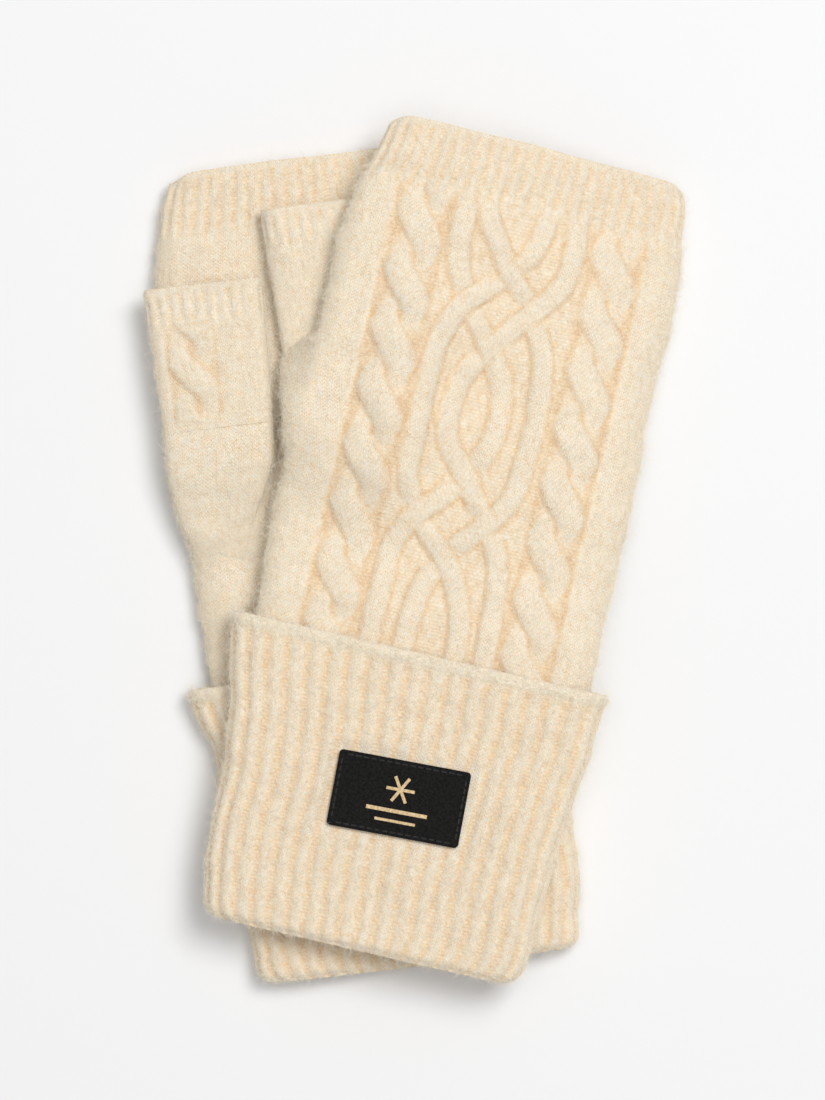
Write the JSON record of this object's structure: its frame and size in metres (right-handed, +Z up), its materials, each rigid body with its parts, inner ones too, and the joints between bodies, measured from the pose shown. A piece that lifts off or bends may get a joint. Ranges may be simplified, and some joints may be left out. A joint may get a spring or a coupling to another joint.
{
  "type": "fingerless gloves",
  "caption": "Pair of long-cuffed knitted fingerless gloves lying crossed, cabled backs, plain palms, ribbed openings and deep turned-back ribbed cuffs, one with a woven label.",
  "frame": {"origin": "on the table under the middle of the pair, at the bottom centre of its box", "axes": "+X across the pair to the right, +Y from the cuffs towards the finger openings, +Z up from the table"},
  "size_m": [0.16, 0.2562, 0.0303],
  "materials": {
    "cable_knit": "soft brushed wool knit with raised cables",
    "plain_knit": "soft brushed wool stockinette",
    "rib_knit": "soft brushed wool rib",
    "inner_rib_knit": "soft brushed wool rib, inner layer",
    "bound_edge": "soft bound-off edge",
    "label_cloth": "matt black woven label",
    "label_thread": "dark sewing thread",
    "label_motif": "gold woven thread"
  },
  "bodies": {
    "left_glove": {"left_back_panel": "cable_knit", "left_palm_panel": "plain_knit", "left_outer_side_seam": "plain_knit", "left_thumb_side_seam": "plain_knit", "left_finger_band": "rib_knit", "left_thumb_gusset": "plain_knit", "left_inner_cuff": "inner_rib_knit"},
    "left_thumb": {"left_thumb_sleeve": "plain_knit", "left_thumb_band": "rib_knit"},
    "left_turned_cuff": {"left_cuff_turnback": "rib_knit", "left_cuff_bind_off": "bound_edge"},
    "right_glove": {"right_back_panel": "cable_knit", "right_palm_panel": "plain_knit", "right_outer_side_seam": "plain_knit", "right_thumb_side_seam": "plain_knit", "right_finger_band": "rib_knit", "right_thumb_gusset": "plain_knit", "right_inner_cuff": "inner_rib_knit"},
    "right_thumb": {"right_thumb_sleeve": "plain_knit", "right_thumb_band": "rib_knit"},
    "right_turned_cuff": {"right_cuff_turnback": "rib_knit", "right_cuff_bind_off": "bound_edge", "right_label": "label_cloth", "right_label_stitching": "label_thread", "right_label_emblem": "label_motif"}
  },
  "joints": [
    {"name": "right_lift", "type": "slide", "parent": "left_glove", "child": "right_glove", "axis": [0, 0, 1], "range_m": [0, 0.06]},
    {"name": "left_cuff_unroll", "type": "slide", "parent": "left_glove", "child": "left_turned_cuff", "axis": [0.1149, -0.9934, 0], "range_m": [0, 0.08]},
    {"name": "right_cuff_unroll", "type": "slide", "parent": "right_glove", "child": "right_turned_cuff", "axis": [-0.225, -0.9744, 0], "range_m": [0, 0.08]},
    {"name": "left_thumb_swing", "type": "hinge", "parent": "left_glove", "child": "left_thumb", "pos_m": [-0.05764, 0.03615, 0.0151], "axis": [0, 0, 1], "range_deg": [0, 30]},
    {"name": "right_thumb_swing", "type": "hinge", "parent": "right_glove", "child": "right_thumb", "pos_m": [-0.02275, 0.06007, 0.0151], "axis": [0, 0, 1], "range_deg": [-18, 0]}
  ]
}
